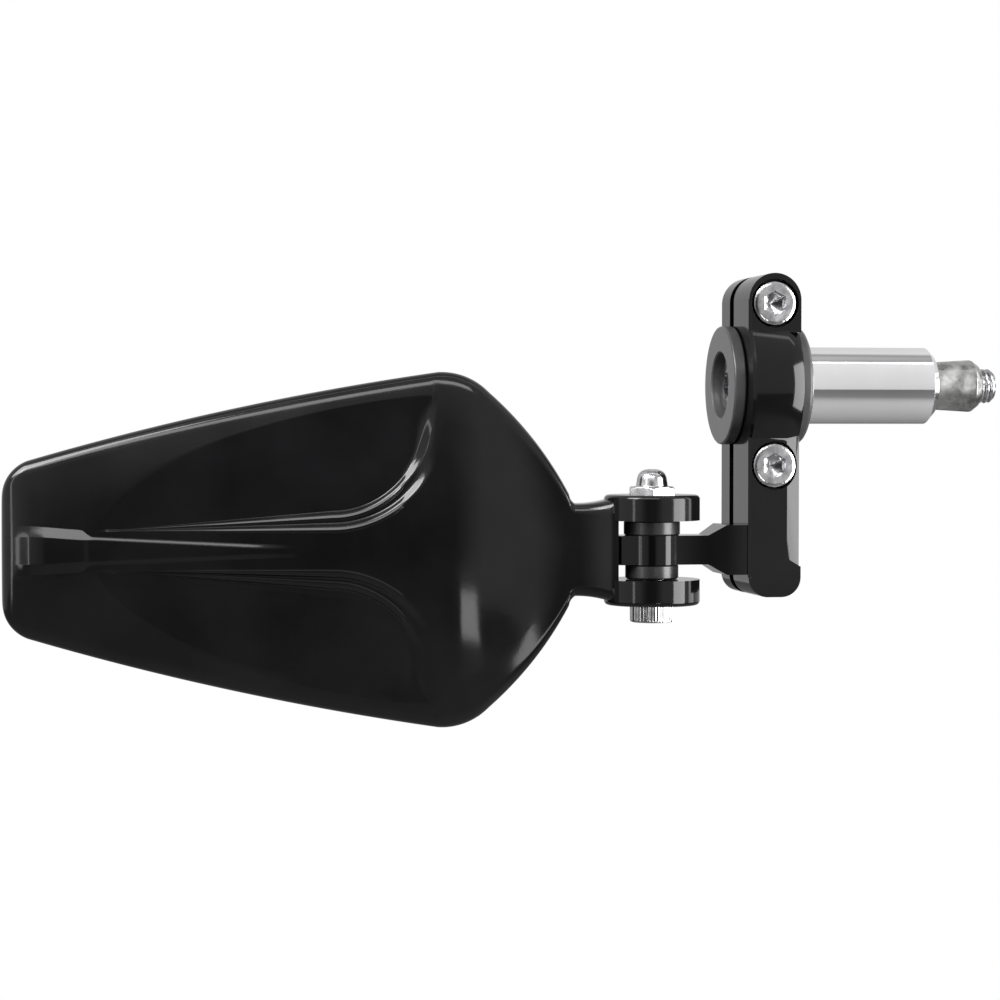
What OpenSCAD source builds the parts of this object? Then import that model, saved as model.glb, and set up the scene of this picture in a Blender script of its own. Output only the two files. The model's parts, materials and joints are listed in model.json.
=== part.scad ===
// Motorcycle bar end mirror. A forked mirror head folds on a pivot, the pivot's tongue belongs to a
// two-piece clamp that swings on a turned end spool, and an expanding insert holds the spool in the
// handlebar. +X runs along the insert into the handlebar, +Z is up and the glass looks towards +Y.
// The origin is the centre of the face that stops against the end of the handlebar.

/* [Insert] */
// Diameter of the chromed sleeve that goes into the handlebar
sleeve_d = 17.8; // [16.6:0.1:18.6]
// Length of the sleeve past the stop face
sleeve_len = 31.8; // [28:0.1:38]
// Depth of the sleeve's end in the stop face
sleeve_sunk = 0.6; // [0.3:0.1:1.2]
// Chamfer at the end of the sleeve
sleeve_chamfer = 1.5; // [0.6:0.1:1.8]
// Bore of the sleeve round the bolt
sleeve_bore_d = 9; // [8.6:0.1:9.2]
// Width of the saw cut that lets the sleeve spread
saw_cut_w = 1.6; // [1:0.1:2.4]
// Length of uncut sleeve before the saw cut
saw_cut_start = 8; // [5:0.5:12]
// Width of the keyway that stops the wedge turning
keyway_w = 2.3; // [2:0.1:2.6]
// Angle of the keyway above the level line on the -Y side
keyway_angle = 16; // [0:1:40]
// Diameter of the spigot that centres the sleeve on the spool
spigot_d = 13; // [12:0.1:13.6]
// Length of the spigot
spigot_len = 3; // [2:0.1:4]

/* [Expander] */
// Thread diameter of the expander bolt
bolt_d = 8; // [8:0.05:8.2]
// Length of the expander bolt under its head
bolt_len = 56.1; // [53:0.1:60]
// Diameter of the bolt's head
bolt_head_d = 13; // [12:0.1:13.6]
// Height of the bolt's head
bolt_head_h = 8; // [6:0.1:8.6]
// Width across the flats of the bolt's hex socket
bolt_key = 6; // [5:0.1:6.5]
// Thickness of the washer under the bolt's head
washer_t = 2; // [1:0.1:2.6]
// Outer diameter of the washer under the bolt's head
washer_d = 14.4; // [13.4:0.1:14.6]
// Length of the wedge
wedge_len = 20; // [17:0.1:24]
// Length of wedge that stands out of the sleeve before it is drawn in
wedge_out = 11.5; // [8:0.1:13]
// Largest diameter of the wedge
wedge_d = 12.2; // [11.8:0.1:12.6]
// Taper of the wedge, as half its cone angle
wedge_taper = 3.4; // [2.5:0.1:3.6]
// Length of the chamfer at the wedge's big end
wedge_chamfer = 1.5; // [0.8:0.1:2]
// How far the bolt draws the wedge in
wedge_travel = 3; // [2:0.1:3.5]
// Width of the wedge's key
key_w = 1.6; // [1.2:0.1:1.8]
// Height of the wedge's key over the cone at the sleeve's end
key_h = 1.6; // [1:0.1:1.7]

/* [End spool] */
// Diameter of the spool's outer disc and of its stop flange
spool_d = 27.3; // [26:0.1:31]
// Thickness of the outer disc
disc_t = 2.8; // [2:0.1:4]
// Width of the groove that the clamp turns in
groove_w = 12.4; // [11.8:0.1:15]
// Thickness of the stop flange
flange_t = 3.6; // [2.6:0.1:5]
// Diameter of the seat that the clamp grips
seat_d = 22.2; // [20:0.1:23]
// Diameter of the counterbore for the bolt's head
counterbore_d = 15.2; // [14.9:0.1:16]
// Depth of the bolt head's face below the outer disc
bolt_sunk = 1.9; // [0.5:0.1:3]

/* [Clamp] */
// Depth of the front half's flat face in front of the insert's axis
front_depth = 15.1; // [14:0.1:17]
// Depth of the rear half's flat face behind the insert's axis
rear_depth = 8.9; // [8:0.1:12]
// Radius of the bulge round the spool at the front
front_ring_r = 19.4; // [18:0.1:21]
// Radius of the bulge round the spool at the rear
rear_ring_r = 14.5; // [13.6:0.1:16]
// Gap between the two halves
split_gap = 3.5; // [1:0.1:4.5]
// Height of the clamp's round top above the insert's axis
clamp_top = 25.2; // [24.8:0.1:30]
// Depth of the clamp's foot below the insert's axis
clamp_foot = 48.2; // [47:0.1:54]
// Radius of the corners at the foot
foot_r = 4.5; // [1:0.1:5.5]
// Distance of the clamp screws from the insert's axis
screw_z = 18.35; // [17.6:0.05:18.6]
// Thread diameter of the clamp screws and of the pivot bolt
screw_d = 6; // [5.5:0.1:6.2]
// Head diameter of the clamp screws and of the pivot bolt
screw_head_d = 10; // [9.4:0.1:10.4]
// Head height of the clamp screws and of the pivot bolt
screw_head_h = 6; // [4.5:0.1:6.6]
// Width across the flats of the sockets in the clamp screws and in the pivot bolt
screw_key = 5; // [4:0.1:5.4]
// Length of the clamp screws under their heads
screw_len = 16; // [14:0.5:17.5]
// Width of the bevel along the clamp's front edge on the handlebar side
wide_bevel = 3.3; // [1:0.1:3.6]
// Depth of that bevel
bevel_depth = 1.6; // [0.6:0.1:3]
// Height of that bevel's lower end above the foot
bevel_end = 8.5; // [6:0.1:12]
// Thin bevel along the clamp's outer edge
thin_bevel = 0.65; // [0.3:0.05:1]

/* [Tongue] */
// Height of the boss at the tongue's root
boss_h = 11.3; // [9:0.1:14]
// Length of the boss past the clamp's side
boss_len = 4.8; // [3:0.1:6]
// Length over which the boss narrows to the tongue
flare_len = 4; // [3:0.1:6]
// Thickness of the tongue and of the pivot eye
tongue_t = 6.6; // [5:0.1:8]
// Depth of the tongue from front to back
tongue_w = 9; // [7:0.1:11]
// Radius of the pivot eye
eye_r = 6.4; // [5.6:0.1:7.4]
// Reach of the stop lug on the far side of the eye
lug_reach = 9.2; // [7.6:0.05:9.3]

/* [Pivot] */
// Distance of the pivot from the stop face
pivot_back = 36.8; // [35:0.1:43]
// Distance of the pivot in front of the insert's axis
pivot_front = 8.4; // [7:0.1:10]
// Depth of the pivot's middle below the insert's axis
pivot_drop = 37.45; // [36:0.05:40]
// Gap between the fork's ears
fork_gap = 13.4; // [12:0.1:15]
// Thickness of each ear of the fork
ear_t = 5.8; // [5.2:0.1:7]
// Radius of the ears round the pivot
ear_r = 10.9; // [10:0.1:12]
// Radius of the slot between the ears
slot_r = 9.4; // [9.3:0.05:10.2]
// Fillet between the slot's floor and the ears
slot_fillet = 1.8; // [0.5:0.1:2.2]
// Rounding of the ears' edges
ear_round = 1; // [0.4:0.1:1.6]
// Diameter of the upper bush's collar
upper_collar_d = 12.8; // [11:0.1:13.6]
// Diameter of the lower bush's collar
lower_collar_d = 12.1; // [11:0.1:13.6]
// Outer diameter of the bushes inside the eye
bush_d = 8; // [7.4:0.1:9]
// Length of the pivot bolt under its head
pivot_bolt_len = 25; // [23:0.5:27]
// Depth of the pivot bolt's head in the lower ear
head_sunk = 2; // [1:0.1:3]
// Width across the flats of the dome nut
nut_key = 10; // [9:0.1:11]
// Depth of the dome nut in the upper ear
nut_sunk = 3; // [1:0.1:3.6]
// Height of the dome nut's hexagon
nut_h = 4.9; // [4:0.1:6]
// Diameter of the dome
dome_d = 7.2; // [7:0.1:9]
// Height of the dome above the hexagon
dome_h = 3.9; // [3:0.1:5]

/* [Head] */
// Turn of the head about the pivot from the line of the insert
head_yaw = 10; // [0:1:20]
// Distance from the pivot to the head's outer end
tip_u = 147.3; // [140:0.1:160]
// Radius of the two outer corners
tip_r = 9; // [7:0.1:11]
// Height of the outer corners' centres from the middle line
tip_w = 11.8; // [9:0.1:14]
// Distance from the pivot to the centres of the shoulder corners
shoulder_u = 47.7; // [46:0.1:54]
// Height of the shoulder corners' centres from the middle line
shoulder_w = 25.5; // [24:0.1:28]
// Radius of the shoulder corners
shoulder_r = 14.8; // [13:0.1:16]
// Outward bow of the head's long sides
side_bow = 1.7; // [0:0.1:3]
// Outward bow of the taper from the shoulders to the neck
taper_bow = 1.35; // [0.5:0.05:1.8]
// Distance from the pivot to the waist of the neck
neck_u = 17.1; // [16.4:0.1:18.4]
// Height of the waist of the neck
neck_h = 20.5; // [18:0.1:22]
// Depth of the glass rim behind the pivot
rim_back = 5; // [4.6:0.1:6.5]
// Depth of the sharp rim in front of the pivot
rim_front = 1.5; // [0.5:0.1:3]
// Radius of the head's rounded edge
edge_r = 3.5; // [2.5:0.1:4]
// Rise of the head's face over its rounded edge
edge_rise = 3; // [2:0.1:4]
// Crown of the head's face along its middle
crown = 4.5; // [2:0.1:6]

/* [Wings] */
// Distance from the pivot to the outer tip of the wings
wing_tip_u = 126.2; // [120:0.1:132]
// Distance from the pivot to the root of the wings
wing_root_u = 47.4; // [45:0.1:52]
// Distance from the pivot to where the swoosh starts to turn up
swoosh_u = 72; // [66:0.1:84]
// Half the height of the spine at the wings' tips
spine_w = 4.3; // [3.5:0.1:6]
// Widening of each side of the spine by where the swoosh turns up
spine_rise = 1.5; // [0.5:0.1:3]
// Height at which the outer line of the swoosh ends
swoosh_h = 31.2; // [27:0.1:31.8]
// Height of the wings' upper corner above the end of that line
corner_rise = 3.8; // [3:0.1:4.4]
// Distance from the pivot to where the two lines of the swoosh part
band_tip_u = 118; // [112:0.1:122]
// Width of the band between the two lines of the swoosh
band_w = 2.7; // [1.5:0.1:3.2]
// Depth of the wings under the spine
wing_depth = 1.8; // [0.5:0.1:2.4]

/* [Mirror] */
// Width of the rim round the glass
rim_w = 2.2; // [1.6:0.1:3]
// Depth of the glass below the rim
glass_sunk = 0.6; // [0.2:0.1:1]
// Thickness of the glass
glass_t = 2; // [1.5:0.1:2.4]
// Thickness of the adhesive pad
pad_t = 0.8; // [0.5:0.1:1.2]
// Thickness of the backing plate
plate_t = 1.6; // [1:0.1:2]
// Width of the ledge that the backing plate rests on
ledge_w = 2.5; // [1.5:0.1:4]
// Depth of the hollow behind the backing plate
hollow_t = 1.8; // [1:0.1:2]

/* [Hidden] */
$fn = 96;
run_gap = 0.05;      // radial gap of a shaft that turns in a hole
face_gap = 0.1;      // gap between faces that turn past each other
thread_gap = 0.03;   // radial gap at a screw thread, which is drawn plain
fit_gap = 0.1;       // gap round a piece that is laid in a pocket

spool_r = spool_d / 2;
groove_x1 = -flange_t;
groove_x0 = groove_x1 - groove_w;
spool_x0 = groove_x0 - disc_t;
clamp_x0 = groove_x0 + face_gap;
clamp_x1 = groove_x1 - face_gap;
clamp_w = clamp_x1 - clamp_x0;
clamp_xm = (clamp_x0 + clamp_x1) / 2;
bolt_face_x = spool_x0 + bolt_sunk;
bolt_seat_x = bolt_face_x + bolt_head_h;
web_x = bolt_seat_x + washer_t;

wedge_x0 = sleeve_len + wedge_out - wedge_len;
wedge_x1 = sleeve_len + wedge_out;
wedge_slope = tan(wedge_taper);
function wedge_r(x) = wedge_d / 2 - (wedge_x1 - wedge_chamfer - x) * wedge_slope;
function mouth_r(x) = wedge_r(x + wedge_travel) + run_gap;
mouth_x0 = wedge_x0 - wedge_travel - 1;
key_r = wedge_r(sleeve_len) + key_h;
keyway_r = key_r + 2 * fit_gap;

pivot = [-pivot_back, -pivot_front, -pivot_drop];
ear_in = fork_gap / 2;
ear_out = ear_in + ear_t;
collar_t = (fork_gap - tongue_t) / 2;
screw_seat_y = -front_depth + screw_head_h + 0.1;

// A child revolved about the X axis, from an outline of [radius, x] points
module turned() rotate([0, 90, 0]) rotate_extrude() children();

// A rod along X, from x0 to x1
module rod(r, x0, x1, sides = $fn) translate([x0, 0, 0]) rotate([0, 90, 0])
    cylinder(r = r, h = x1 - x0, $fn = sides);

// An outline in X and Z, made solid from y0 to y1
module front_view(y0, y1) translate([0, y1, 0]) rotate([90, 0, 0]) linear_extrude(y1 - y0) children();

// A socket head screw with its seat at the origin and its shank up +Z
module cap_screw(d, len, head_d, head_h, key) {
    tip = 0.12 * d;
    edge = 0.06 * head_d;
    socket_r = key / 2 / cos(30);
    difference() {
        rotate_extrude() polygon([[0, -head_h], [head_d / 2 - edge, -head_h], [head_d / 2, edge - head_h],
            [head_d / 2, 0], [d / 2, 0], [d / 2, len - tip], [d / 2 - tip, len], [0, len]]);
        translate([0, 0, -head_h - 1]) cylinder(r = socket_r, h = head_h / 2 + 1, $fn = 6);
        translate([0, 0, -head_h / 2 - 0.01]) cylinder(r1 = key / 2, r2 = 0, h = key / 4);
    }
}

// Outline helpers for the head, in [u, w]: u is the distance from the pivot, w the height
function mix(a, b, t) = a + (b - a) * t;
function smooth(t) = let (c = min(1, max(0, t))) c * c * (3 - 2 * c);
function quarter(t) = let (c = min(1, max(0, t))) sqrt(1 - (1 - c) * (1 - c));
function arc(c, r, a0, a1, n) = [for (k = [0:n]) c + r * [cos(mix(a0, a1, k / n)), sin(mix(a0, a1, k / n))]];
function bow(p, q, sag, n) = let (d = q - p, out = [d.y, -d.x] / norm(d))
    [for (k = [1:n - 1]) p + d * k / n + out * 4 * sag * (k / n) * (1 - k / n)];
function last(path) = path[len(path) - 1];
function both_sides(path) = concat(path, [for (k = [len(path) - 1:-1:0]) [path[k].x, -path[k].y]]);

// Upper half of the head's outline, from the outer end to the fork, drawn smaller by inset
side_angle = atan2(shoulder_w + shoulder_r - tip_w - tip_r, tip_u - tip_r - shoulder_u);
bow_angle = 2 * atan2(2 * side_bow, (tip_u - tip_r - shoulder_u) / 2);
function tip_arc(inset) = arc([tip_u - tip_r, tip_w], tip_r - inset, 0, 90 - side_angle - bow_angle, 10);
function shoulder_arc(inset) = arc([shoulder_u, shoulder_w], shoulder_r - inset,
    90 - side_angle + bow_angle, 136, 12);
function flank(inset) = let (a = tip_arc(inset), b = shoulder_arc(inset))
    concat(a, bow(last(a), b[0], side_bow, 12), b);
waist = [neck_u + 0.4, neck_h / 2 + 0.2];
root = [neck_u + 1.8, neck_h / 2 + 2.5];
fork_u = slot_r - 0.2;
half_outline = let (f = flank(0)) concat(f, bow(last(f), root, taper_bow, 8), [root],
    bow(root, waist, -0.15, 3), [waist], bow(waist, [fork_u, ear_out - 0.2], -0.5, 5),
    [[fork_u, ear_out - 0.2]]);
function half_w(u) = lookup(u, half_outline);

// The glass and what lies under it follow the flank and have a blunt nose short of the neck
nose = [shoulder_u - 15.5, 14];
nose_r = 11.1;
function glass_outline(inset) = both_sides(concat(flank(inset), arc(nose, nose_r - inset, 141, 180, 6)));

// The swoosh: each line runs along the spine and then turns up a quarter of an ellipse
function swoosh(u, u_end, w0, w1) = let (t = (swoosh_u - u) / (swoosh_u - u_end))
    w1 - (w1 - w0) * sqrt(max(0, 1 - max(0, t) * max(0, t)));
function in_wing(u) = u >= wing_root_u && u <= wing_tip_u;
function flat_w(u) = half_w(u) - edge_r - 0.5;
function share(u, w_of) = let (e = u < wing_root_u ? wing_root_u : wing_tip_u) flat_w(u) * w_of / flat_w(e);
function along(u, from_u) = min(1, max(0, (from_u - u) / (from_u - swoosh_u)));
function spine_at(u) = spine_w + spine_rise * along(u, wing_tip_u);
function band_at(u) = 0.3 + (band_w - 0.3) * along(u, band_tip_u);
wing_h = min(swoosh_h + corner_rise, flat_w(wing_root_u) - 0.6);   // stays inside the rounded edge
function outer_line(u) = in_wing(u) ? swoosh(u, wing_root_u, spine_at(u), swoosh_h)
    : share(u, u < wing_root_u ? swoosh_h : spine_w);
function inner_line(u) = in_wing(u)
    ? max(outer_line(u) + 0.3, swoosh(u, wing_root_u + 0.75 * band_w, spine_at(u) + band_at(u), wing_h))
    : share(u, u < wing_root_u ? wing_h : spine_w + 0.3);
function wing_edge(u) = let (t = min(1, max(0, (u - wing_root_u) / (wing_tip_u - wing_root_u))),
    past_band = inner_line(u) + 0.25 * (inner_line(u) - outer_line(u)))
    in_wing(u) ? max(past_band, wing_h * sqrt(1 - pow(t, 1.5))) : past_band;

// Height of the head's face in front of the pivot, at distance u and height w
function crown_at(u) = mix(1, crown, smooth((u - neck_u) / 32)) - 1.2 * smooth((u - swoosh_u) / 75);
function edge_at(u, w) = edge_rise * quarter((half_w(u) - abs(w)) / edge_r) * quarter((tip_u - u) / edge_r);
function face(u, w) = rim_front + edge_at(u, w)
    + crown_at(u) * (1 - pow(w / half_w(u), 2)) * quarter((tip_u - u) / (3 * edge_r));
function wing_fade(u) = wing_depth * smooth((wing_tip_u - u) / 14) * smooth((u - wing_root_u) / band_w);

// One cross-section of the face: [w, recess] pairs from the spine to the rim
function section(u) = let (o = outer_line(u), i = inner_line(u), e = wing_edge(u), g = 0.2 * (i - o),
    d = wing_fade(u), hw = half_w(u), fw = hw - edge_r)
    concat([[0, 0], [(o - g) / 2, 0], [o - g, 0], [o + g, d / 2], [i - g, d / 2]],
        [for (t = [0, 0.25, 0.5, 0.75, 1]) [mix(i + g, e, t), d * (1 - t * t)]],
        [[mix(e, fw, 0.5), 0]], [for (t = [1, 0.6, 0.3, 0.1, 0]) [hw - edge_r * t, 0]]);
function steps(a, b, n) = [for (k = [1:n]) mix(a, b, k / n)];
stations = concat([for (a = [0:9:81]) tip_u - tip_r * (1 - cos(a))],
    steps(tip_u - tip_r, wing_tip_u, 3), steps(wing_tip_u, swoosh_u, 13),
    steps(swoosh_u, wing_root_u + 6, 13), steps(wing_root_u + 6, wing_root_u - 1, 9),
    steps(wing_root_u - 1, root.x, 10),
    [mix(root.x, waist.x, 0.5), waist.x], steps(waist.x, fork_u, 4));
module head_skin() {
    rows = [for (u = stations) let (s = section(u), n = len(s))
        concat([for (k = [n - 1:-1:1]) [-u, s[k][1] - face(u, s[k][0]), -s[k][0]]],
               [for (k = [0:n - 1]) [-u, s[k][1] - face(u, s[k][0]), s[k][0]]],
               [[-u, rim_back, half_w(u)], [-u, rim_back, -half_w(u)]])];
    n = len(rows[0]);
    m = len(rows);
    starts = [for (k = [0:m - 2]) for (j = [0:n - 1]) [k * n + j, k * n + (j + 1) % n]];
    polyhedron(points = [for (r = rows) each r], faces = concat(
        [for (s = starts) [s[1] + n, s[0] + n, s[0]]], [for (s = starts) [s[1], s[1] + n, s[0]]],
        [[for (j = [n - 1:-1:0]) j]], [[for (j = [0:n - 1]) (m - 1) * n + j]]));
}

// Places the head's own frame, with -X away from the pivot, at the pivot
module on_head() translate(pivot) rotate([0, 0, -head_yaw]) children();

// An outline in [u, w] made solid between two depths behind the pivot
module slab(y0, y1) front_view(y0, y1) mirror([1, 0]) children();

// One ear of the fork, a disc with rounded edges, and its root, whose edge is rounded like the neck's
module ear() {
    y0 = -rim_front - edge_rise - 0.4;
    y1 = rim_back - 0.5;
    root_h = ear_t - 0.4;
    round_edge = arc([ear_r - ear_round, ear_t - ear_round], ear_round, 0, 90, 4);
    rotate_extrude() polygon(concat([[0, 0]], [[ear_r, 0]], round_edge, [[0, ear_t]]));
    translate([-ear_r / 2, 0, 0]) rotate([0, -90, 0]) linear_extrude(fork_u + 1.5 - ear_r / 2) difference() {
        translate([0, y0]) square([root_h, y1 - y0]);
        difference() {
            translate([root_h - edge_r, y0 - 1]) square(edge_r + 1);
            translate([root_h - edge_r, y0 + edge_r]) circle(r = edge_r);
        }
    }
}

// The slot that the eye turns in, with its floor filleted into the ears
module slot() rotate_extrude() polygon(concat([[0, -ear_in]],
    arc([slot_r - slot_fillet, slot_fillet - ear_in], slot_fillet, -90, 0, 4),
    arc([slot_r - slot_fillet, ear_in - slot_fillet], slot_fillet, 0, 90, 4), [[0, ear_in]]));

// The shell with the seat for the glass and the hollow behind it. A resize by nothing makes it one mesh,
// so that the exact ears and bores are joined to it once
module shell() resize([0, 0, 0]) difference() {
    head_skin();
    slab(plate_y0, rim_back + 1) polygon(glass_outline(rim_w));
    slab(plate_y0 - hollow_t, rim_back) polygon(glass_outline(rim_w + ledge_w));
}

module mirror_housing() color([0.05, 0.05, 0.055]) on_head() difference() {
    union() {
        shell();
        translate([0, 0, ear_in]) ear();
        mirror([0, 0, 1]) translate([0, 0, ear_in]) ear();
    }
    slot();
    translate([0, 0, -ear_out - 1]) cylinder(r = screw_d / 2 + run_gap, h = 2 * ear_out + 2);
    translate([0, 0, ear_out - nut_sunk]) hexagon(nut_key / 2 + fit_gap, nut_sunk + 1);
    translate([0, 0, -ear_out - 1]) cylinder(r = screw_head_d / 2 + 0.25, h = head_sunk + 1);
}

// The glass, its pad and its backing plate lie on one another in the housing
glass_y1 = rim_back - glass_sunk;
glass_y0 = glass_y1 - glass_t;
plate_y1 = glass_y0 - pad_t;
plate_y0 = plate_y1 - plate_t;

module backing_plate() color([0.16, 0.16, 0.17]) on_head()
    slab(plate_y0, plate_y1) polygon(glass_outline(rim_w + fit_gap));

module adhesive_pad() color([0.12, 0.12, 0.12]) on_head()
    slab(plate_y1, glass_y0) polygon(glass_outline(rim_w + 1));

module mirror_glass() color([0.82, 0.85, 0.88]) on_head()
    slab(glass_y0, glass_y1) polygon(glass_outline(rim_w + fit_gap));

module pivot_bolt() color([0.75, 0.75, 0.76]) on_head()
    translate([0, 0, head_sunk - ear_out])
    cap_screw(screw_d, pivot_bolt_len, screw_head_d, screw_head_h, screw_key);

// A hexagonal bar with a corner towards the camera's side, from half its width across the flats
module hexagon(half_key, h) rotate([0, 0, 30]) cylinder(r = half_key / cos(30), h = h, $fn = 6);

module dome_nut() color([0.75, 0.75, 0.76]) on_head() translate([0, 0, ear_out - nut_sunk]) difference() {
    dome_r = dome_d / 2;
    round_r = 0.62 * dome_r;
    union() {
        intersection() {
            hexagon(nut_key / 2, nut_h);
            cylinder(r1 = nut_key, r2 = nut_key / 2, h = nut_h + 0.3);
        }
        translate([0, 0, nut_h]) rotate_extrude() polygon(concat([[0, -0.1]], [[dome_r, -0.1]],
            arc([dome_r - round_r, dome_h - round_r], round_r, 0, 80, 6), [[0, dome_h]]));
    }
    translate([0, 0, -1]) cylinder(r = screw_d / 2 + thread_gap, h = nut_h + dome_h - 1.2 + 1);
}

// A top-hat bush: its collar fills the gap beside the eye and its barrel lines half of the eye
module bush(collar_d) difference() {
    union() {
        translate([0, 0, tongue_t / 2]) cylinder(d = collar_d, h = collar_t - face_gap);
        translate([0, 0, face_gap]) cylinder(d = bush_d, h = tongue_t / 2);
    }
    translate([0, 0, -1]) cylinder(r = screw_d / 2 + run_gap, h = fork_gap);
}

module upper_bush() color([0.07, 0.07, 0.07]) translate(pivot) bush(upper_collar_d);

module lower_bush() color([0.07, 0.07, 0.07]) translate(pivot) mirror([0, 0, 1]) bush(lower_collar_d);

// The clamp's outline seen from the front: a bar with a round top and rounded lower corners
module clamp_outline() {
    half = clamp_w / 2;
    top = clamp_top - half;
    translate([clamp_xm, top]) circle(r = half);
    translate([clamp_x0, foot_r - clamp_foot]) square([clamp_w, top + clamp_foot - foot_r]);
    translate([clamp_x0 + foot_r, -clamp_foot]) square([clamp_w - 2 * foot_r, 2 * foot_r]);
    for (x = [clamp_x0 + foot_r, clamp_x1 - foot_r]) translate([x, foot_r - clamp_foot]) circle(r = foot_r);
}

// The bulge round the spool, a solid disc with two bevelled edges. A bevel is its width and its depth
thin = [thin_bevel, thin_bevel];
wide = [wide_bevel, bevel_depth];
module ring_disc(r, left, right) turned() polygon([[0, clamp_x0], [r - left.y, clamp_x0],
    [r, clamp_x0 + left.x], [r, clamp_x1 - right.x], [r - right.y, clamp_x1], [0, clamp_x1]]);

// What a bevel takes off the front half's upright edge at x, on the side that side_x points to
module bevel_cut(x, side_x, bevel, z0, z1) translate([x, -front_depth, z0]) linear_extrude(z1 - z0)
    polygon([[-1.5 * side_x * bevel.x, -bevel.y / 2], [side_x * bevel.x / 2, 1.5 * bevel.y],
        [side_x * bevel.x / 2, -bevel.y / 2]]);

// The tongue that the head folds on, from the boss on the clamp to the pivot eye
module tongue() {
    boss_x = clamp_x0 - boss_len;
    flare_x = boss_x - flare_len;
    eye_x = pivot.x;
    inside = clamp_x0 + 1;
    boss_y0 = -front_depth + thin_bevel + 0.35;
    boss_y1 = -split_gap / 2;
    tab_y0 = pivot.y - tongue_w / 2;
    tab_y1 = pivot.y + tongue_w / 2;
    intersection() {
        translate([0, 0, pivot.z]) front_view(boss_y0, boss_y1) polygon([[inside, -boss_h / 2],
            [boss_x, -boss_h / 2], [flare_x, -tongue_t / 2], [eye_x, -tongue_t / 2],
            [eye_x, tongue_t / 2], [flare_x, tongue_t / 2], [boss_x, boss_h / 2], [inside, boss_h / 2]]);
        translate([0, 0, pivot.z - boss_h]) linear_extrude(2 * boss_h) polygon([[inside, boss_y0],
            [boss_x, boss_y0], [flare_x, tab_y0], [eye_x, tab_y0],
            [eye_x, tab_y1], [flare_x, tab_y1], [boss_x, boss_y1], [inside, boss_y1]]);
    }
    translate([eye_x, pivot.y, pivot.z - tongue_t / 2]) {
        cylinder(r = eye_r, h = tongue_t);
        intersection() {
            cylinder(r = lug_reach, h = tongue_t);
            translate([-lug_reach - 1, -tongue_w / 2, 0]) cube([lug_reach + 1, tongue_w, tongue_t]);
        }
    }
}

// Height at which the front bulge leaves the flat face, and a height at which it is well in front of it
bulge_z = sqrt(front_ring_r * front_ring_r - front_depth * front_depth);
inside_z = 0.8 * bulge_z;

module clamp_front() color([0.05, 0.05, 0.055]) difference() {
    union() {
        difference() {
            front_view(-front_depth, -split_gap / 2) clamp_outline();
            difference() {
                bevel_cut(clamp_x1, 1, wide, bevel_end - clamp_foot - wide_bevel, bulge_z - 0.4);
                translate([clamp_x1, -front_depth - 2, bevel_end - clamp_foot - wide_bevel / 2])
                    rotate([0, 30, 0]) translate([-2 * wide_bevel, 0, -2 * wide_bevel])
                    cube([4 * wide_bevel, bevel_depth + 4, 2 * wide_bevel]);
            }
            bevel_cut(clamp_x0, -1, thin, foot_r - clamp_foot, -inside_z);
            bevel_cut(clamp_x0, -1, thin, inside_z, clamp_top - clamp_w / 2);
        }
        intersection() {
            ring_disc(front_ring_r, thin, wide);
            translate([clamp_x0 - 1, -front_ring_r - 1, -front_ring_r])
                cube([clamp_w + 2, front_ring_r + 1 - split_gap / 2, 2 * front_ring_r]);
        }
        tongue();
    }
    rod(seat_d / 2 + run_gap, clamp_x0 - 1, clamp_x1 + 1);
    translate(pivot - [0, 0, tongue_t]) cylinder(d = bush_d + 2 * thread_gap, h = 2 * tongue_t);
    for (z = [-screw_z, screw_z]) translate([clamp_xm, 0, z]) rotate([90, 0, 0]) {
        cylinder(r = screw_d / 2 + run_gap, h = front_depth + 1);
        translate([0, 0, -screw_seat_y]) cylinder(r = screw_head_d / 2 + 0.5, h = front_ring_r);
    }
}

module clamp_rear() color([0.05, 0.05, 0.055]) difference() {
    union() {
        front_view(split_gap / 2, rear_depth) clamp_outline();
        intersection() {
            ring_disc(rear_ring_r, thin, thin);
            translate([clamp_x0 - 1, split_gap / 2, -rear_ring_r])
                cube([clamp_w + 2, rear_ring_r + 1, 2 * rear_ring_r]);
        }
    }
    rod(seat_d / 2 + run_gap, clamp_x0 - 1, clamp_x1 + 1);
    for (z = [-screw_z, screw_z]) translate([clamp_xm, 0, z]) rotate([-90, 0, 0])
        cylinder(r = screw_d / 2 + thread_gap, h = rear_depth + 1);
}

module clamp_screw(z) color([0.75, 0.75, 0.76]) translate([clamp_xm, screw_seat_y, z]) rotate([-90, 0, 0])
    cap_screw(screw_d, screw_len, screw_head_d, screw_head_h, screw_key);

module upper_clamp_screw() clamp_screw(screw_z);

module lower_clamp_screw() clamp_screw(-screw_z);

module end_spool() color([0.06, 0.06, 0.065]) turned() {
    edge = 0.5;
    rim = 1.1;
    nest_r = sleeve_d / 2 + run_gap;
    polygon([[counterbore_d / 2, spool_x0], [spool_r - edge, spool_x0], [spool_r, spool_x0 + edge],
        [spool_r, groove_x0 - edge], [spool_r - edge, groove_x0], [seat_d / 2, groove_x0],
        [seat_d / 2, groove_x1], [spool_r - edge, groove_x1], [spool_r, groove_x1 + edge],
        [spool_r, -rim], [spool_r - 0.3 * rim, -0.3 * rim], [spool_r - rim, 0], [nest_r, 0],
        [nest_r, -sleeve_sunk], [spigot_d / 2, -sleeve_sunk], [spigot_d / 2, spigot_len],
        [bolt_d / 2 + run_gap, spigot_len], [bolt_d / 2 + run_gap, web_x], [counterbore_d / 2, web_x]]);
}

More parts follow.
